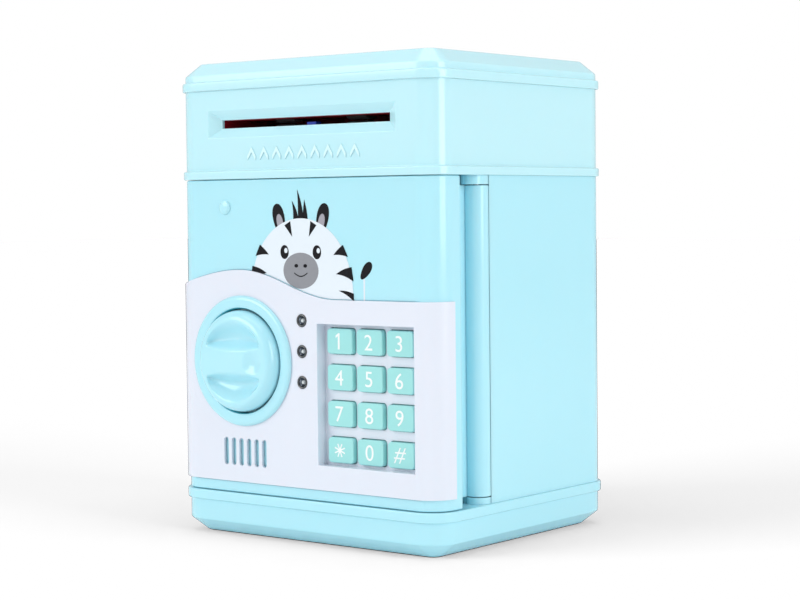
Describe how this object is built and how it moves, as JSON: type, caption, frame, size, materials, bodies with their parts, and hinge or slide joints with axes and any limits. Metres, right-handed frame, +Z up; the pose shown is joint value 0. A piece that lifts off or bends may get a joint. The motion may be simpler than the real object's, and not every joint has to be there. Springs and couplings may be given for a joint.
{
  "type": "toy cash machine savings bank",
  "caption": "Desk-top savings bank shaped like a cash machine, with a banknote slot, keypad, dial knob and a hinged front door.",
  "frame": {"origin": "centre of the casing's base face", "axes": "+Z up, front faces -Y, +X to the viewer's right"},
  "size_m": [0.1352, 0.1252, 0.19],
  "materials": {
    "casing_blue": "glossy moulded ABS",
    "panel_white": "glossy moulded ABS",
    "mark_white": "faint raised marks",
    "key_mint": "satin moulded keys, white numerals",
    "feeder_red": "dark red moulded frame",
    "sensor_blue": "glossy",
    "roller_grey": "matt rubber",
    "gear_white": "acetal",
    "brass_part": "satin",
    "steel": "plated",
    "battery_black": "printed sleeve",
    "mat_rubber": "silicone",
    "led_lens": "smoked clear lens",
    "speaker_black": "paper cone and pressed basket",
    "board_green": "solder mask"
  },
  "bodies": {
    "casing": {"base_tray": "casing_blue", "base_plate": "casing_blue", "body_shell": "casing_blue", "upper_casing": "casing_blue", "roof_cap": "casing_blue", "slot_marks": "mark_white", "mechanism_deck": "casing_blue", "battery_cover": "casing_blue", "battery_screw": "steel", "batteries": "battery_black", "battery_contacts": "steel", "feeder_frame": "feeder_red", "bill_sensor": "sensor_blue", "feed_motor": "steel", "idler_axle": "steel", "coin_chute": "casing_blue", "hinge_pins": "steel", "head_screws": "steel", "base_screws": "steel", "feeder_screws": "steel"},
    "door": {"door_shell": "casing_blue", "control_panel": "panel_white", "dial_ring": "casing_blue", "keypad_plate": "panel_white", "keypad_mat": "mat_rubber", "status_leds": "led_lens", "speaker": "speaker_black", "circuit_board": "board_green", "lock_solenoid": "steel", "door_back_cover": "casing_blue", "door_screws": "steel", "door_stud": "casing_blue"},
    "knob": {"knob": "casing_blue", "knob_spindle": "steel", "lock_disc": "brass_part", "latch_tongue": "steel", "latch_screw": "steel"},
    "lock_plunger": {"lock_plunger": "steel"},
    "feed_roller": {"feed_shaft": "steel", "feed_gear": "gear_white", "feed_rollers": "roller_grey"},
    "pinch_roller": {"pinch_shaft": "steel", "pinch_rollers": "roller_grey"},
    "idler": {"idler_gear": "gear_white"},
    "pinion": {"motor_pinion": "brass_part"},
    "key_1": {"key_1": "key_mint"},
    "key_2": {"key_2": "key_mint"},
    "key_3": {"key_3": "key_mint"},
    "key_4": {"key_4": "key_mint"},
    "key_5": {"key_5": "key_mint"},
    "key_6": {"key_6": "key_mint"},
    "key_7": {"key_7": "key_mint"},
    "key_8": {"key_8": "key_mint"},
    "key_9": {"key_9": "key_mint"},
    "key_star": {"key_star": "key_mint"},
    "key_0": {"key_0": "key_mint"},
    "key_hash": {"key_hash": "key_mint"}
  },
  "joints": [
    {"name": "door_hinge", "type": "hinge", "parent": "casing", "child": "door", "pos_m": [0.0615, -0.026, 0.08], "axis": [0, 0, 1], "range_deg": [0, 95]},
    {"name": "knob_turn", "type": "hinge", "parent": "door", "child": "knob", "pos_m": [-0.0297, -0.0591, 0.0709], "axis": [0, 1, 0], "range_deg": [-90, 0]},
    {"name": "lock_plunger_slide", "type": "slide", "parent": "door", "child": "lock_plunger", "axis": [0, 0, -1], "range_m": [0, 0.0035], "stiffness_N_per_m": 60},
    {"name": "feed_roller_spin", "type": "hinge", "parent": "casing", "child": "feed_roller", "pos_m": [0, -0.0419, 0.16035], "axis": [1, 0, 0], "continuous": true},
    {"name": "pinch_roller_spin", "type": "hinge", "parent": "casing", "child": "pinch_roller", "pos_m": [0, -0.0419, 0.16965], "axis": [1, 0, 0], "continuous": true},
    {"name": "idler_spin", "type": "hinge", "parent": "casing", "child": "idler", "pos_m": [-0.048, -0.03067, 0.15837], "axis": [1, 0, 0], "continuous": true},
    {"name": "pinion_spin", "type": "hinge", "parent": "casing", "child": "pinion", "pos_m": [-0.048, -0.01812, 0.15727], "axis": [1, 0, 0], "continuous": true},
    {"name": "key_1_press", "type": "slide", "parent": "door", "child": "key_1", "axis": [0, 1, 0], "range_m": [0, 0.0012], "stiffness_N_per_m": 300},
    {"name": "key_2_press", "type": "slide", "parent": "door", "child": "key_2", "axis": [0, 1, 0], "range_m": [0, 0.0012], "stiffness_N_per_m": 300},
    {"name": "key_3_press", "type": "slide", "parent": "door", "child": "key_3", "axis": [0, 1, 0], "range_m": [0, 0.0012], "stiffness_N_per_m": 300},
    {"name": "key_4_press", "type": "slide", "parent": "door", "child": "key_4", "axis": [0, 1, 0], "range_m": [0, 0.0012], "stiffness_N_per_m": 300},
    {"name": "key_5_press", "type": "slide", "parent": "door", "child": "key_5", "axis": [0, 1, 0], "range_m": [0, 0.0012], "stiffness_N_per_m": 300},
    {"name": "key_6_press", "type": "slide", "parent": "door", "child": "key_6", "axis": [0, 1, 0], "range_m": [0, 0.0012], "stiffness_N_per_m": 300},
    {"name": "key_7_press", "type": "slide", "parent": "door", "child": "key_7", "axis": [0, 1, 0], "range_m": [0, 0.0012], "stiffness_N_per_m": 300},
    {"name": "key_8_press", "type": "slide", "parent": "door", "child": "key_8", "axis": [0, 1, 0], "range_m": [0, 0.0012], "stiffness_N_per_m": 300},
    {"name": "key_9_press", "type": "slide", "parent": "door", "child": "key_9", "axis": [0, 1, 0], "range_m": [0, 0.0012], "stiffness_N_per_m": 300},
    {"name": "key_star_press", "type": "slide", "parent": "door", "child": "key_star", "axis": [0, 1, 0], "range_m": [0, 0.0012], "stiffness_N_per_m": 300},
    {"name": "key_0_press", "type": "slide", "parent": "door", "child": "key_0", "axis": [0, 1, 0], "range_m": [0, 0.0012], "stiffness_N_per_m": 300},
    {"name": "key_hash_press", "type": "slide", "parent": "door", "child": "key_hash", "axis": [0, 1, 0], "range_m": [0, 0.0012], "stiffness_N_per_m": 300}
  ],
  "couplings": [
    {"joint": "pinch_roller_spin", "follows": "feed_roller_spin", "ratio": -1},
    {"joint": "idler_spin", "follows": "feed_roller_spin", "ratio": -2.1667},
    {"joint": "pinion_spin", "follows": "feed_roller_spin", "ratio": 5.4167}
  ]
}
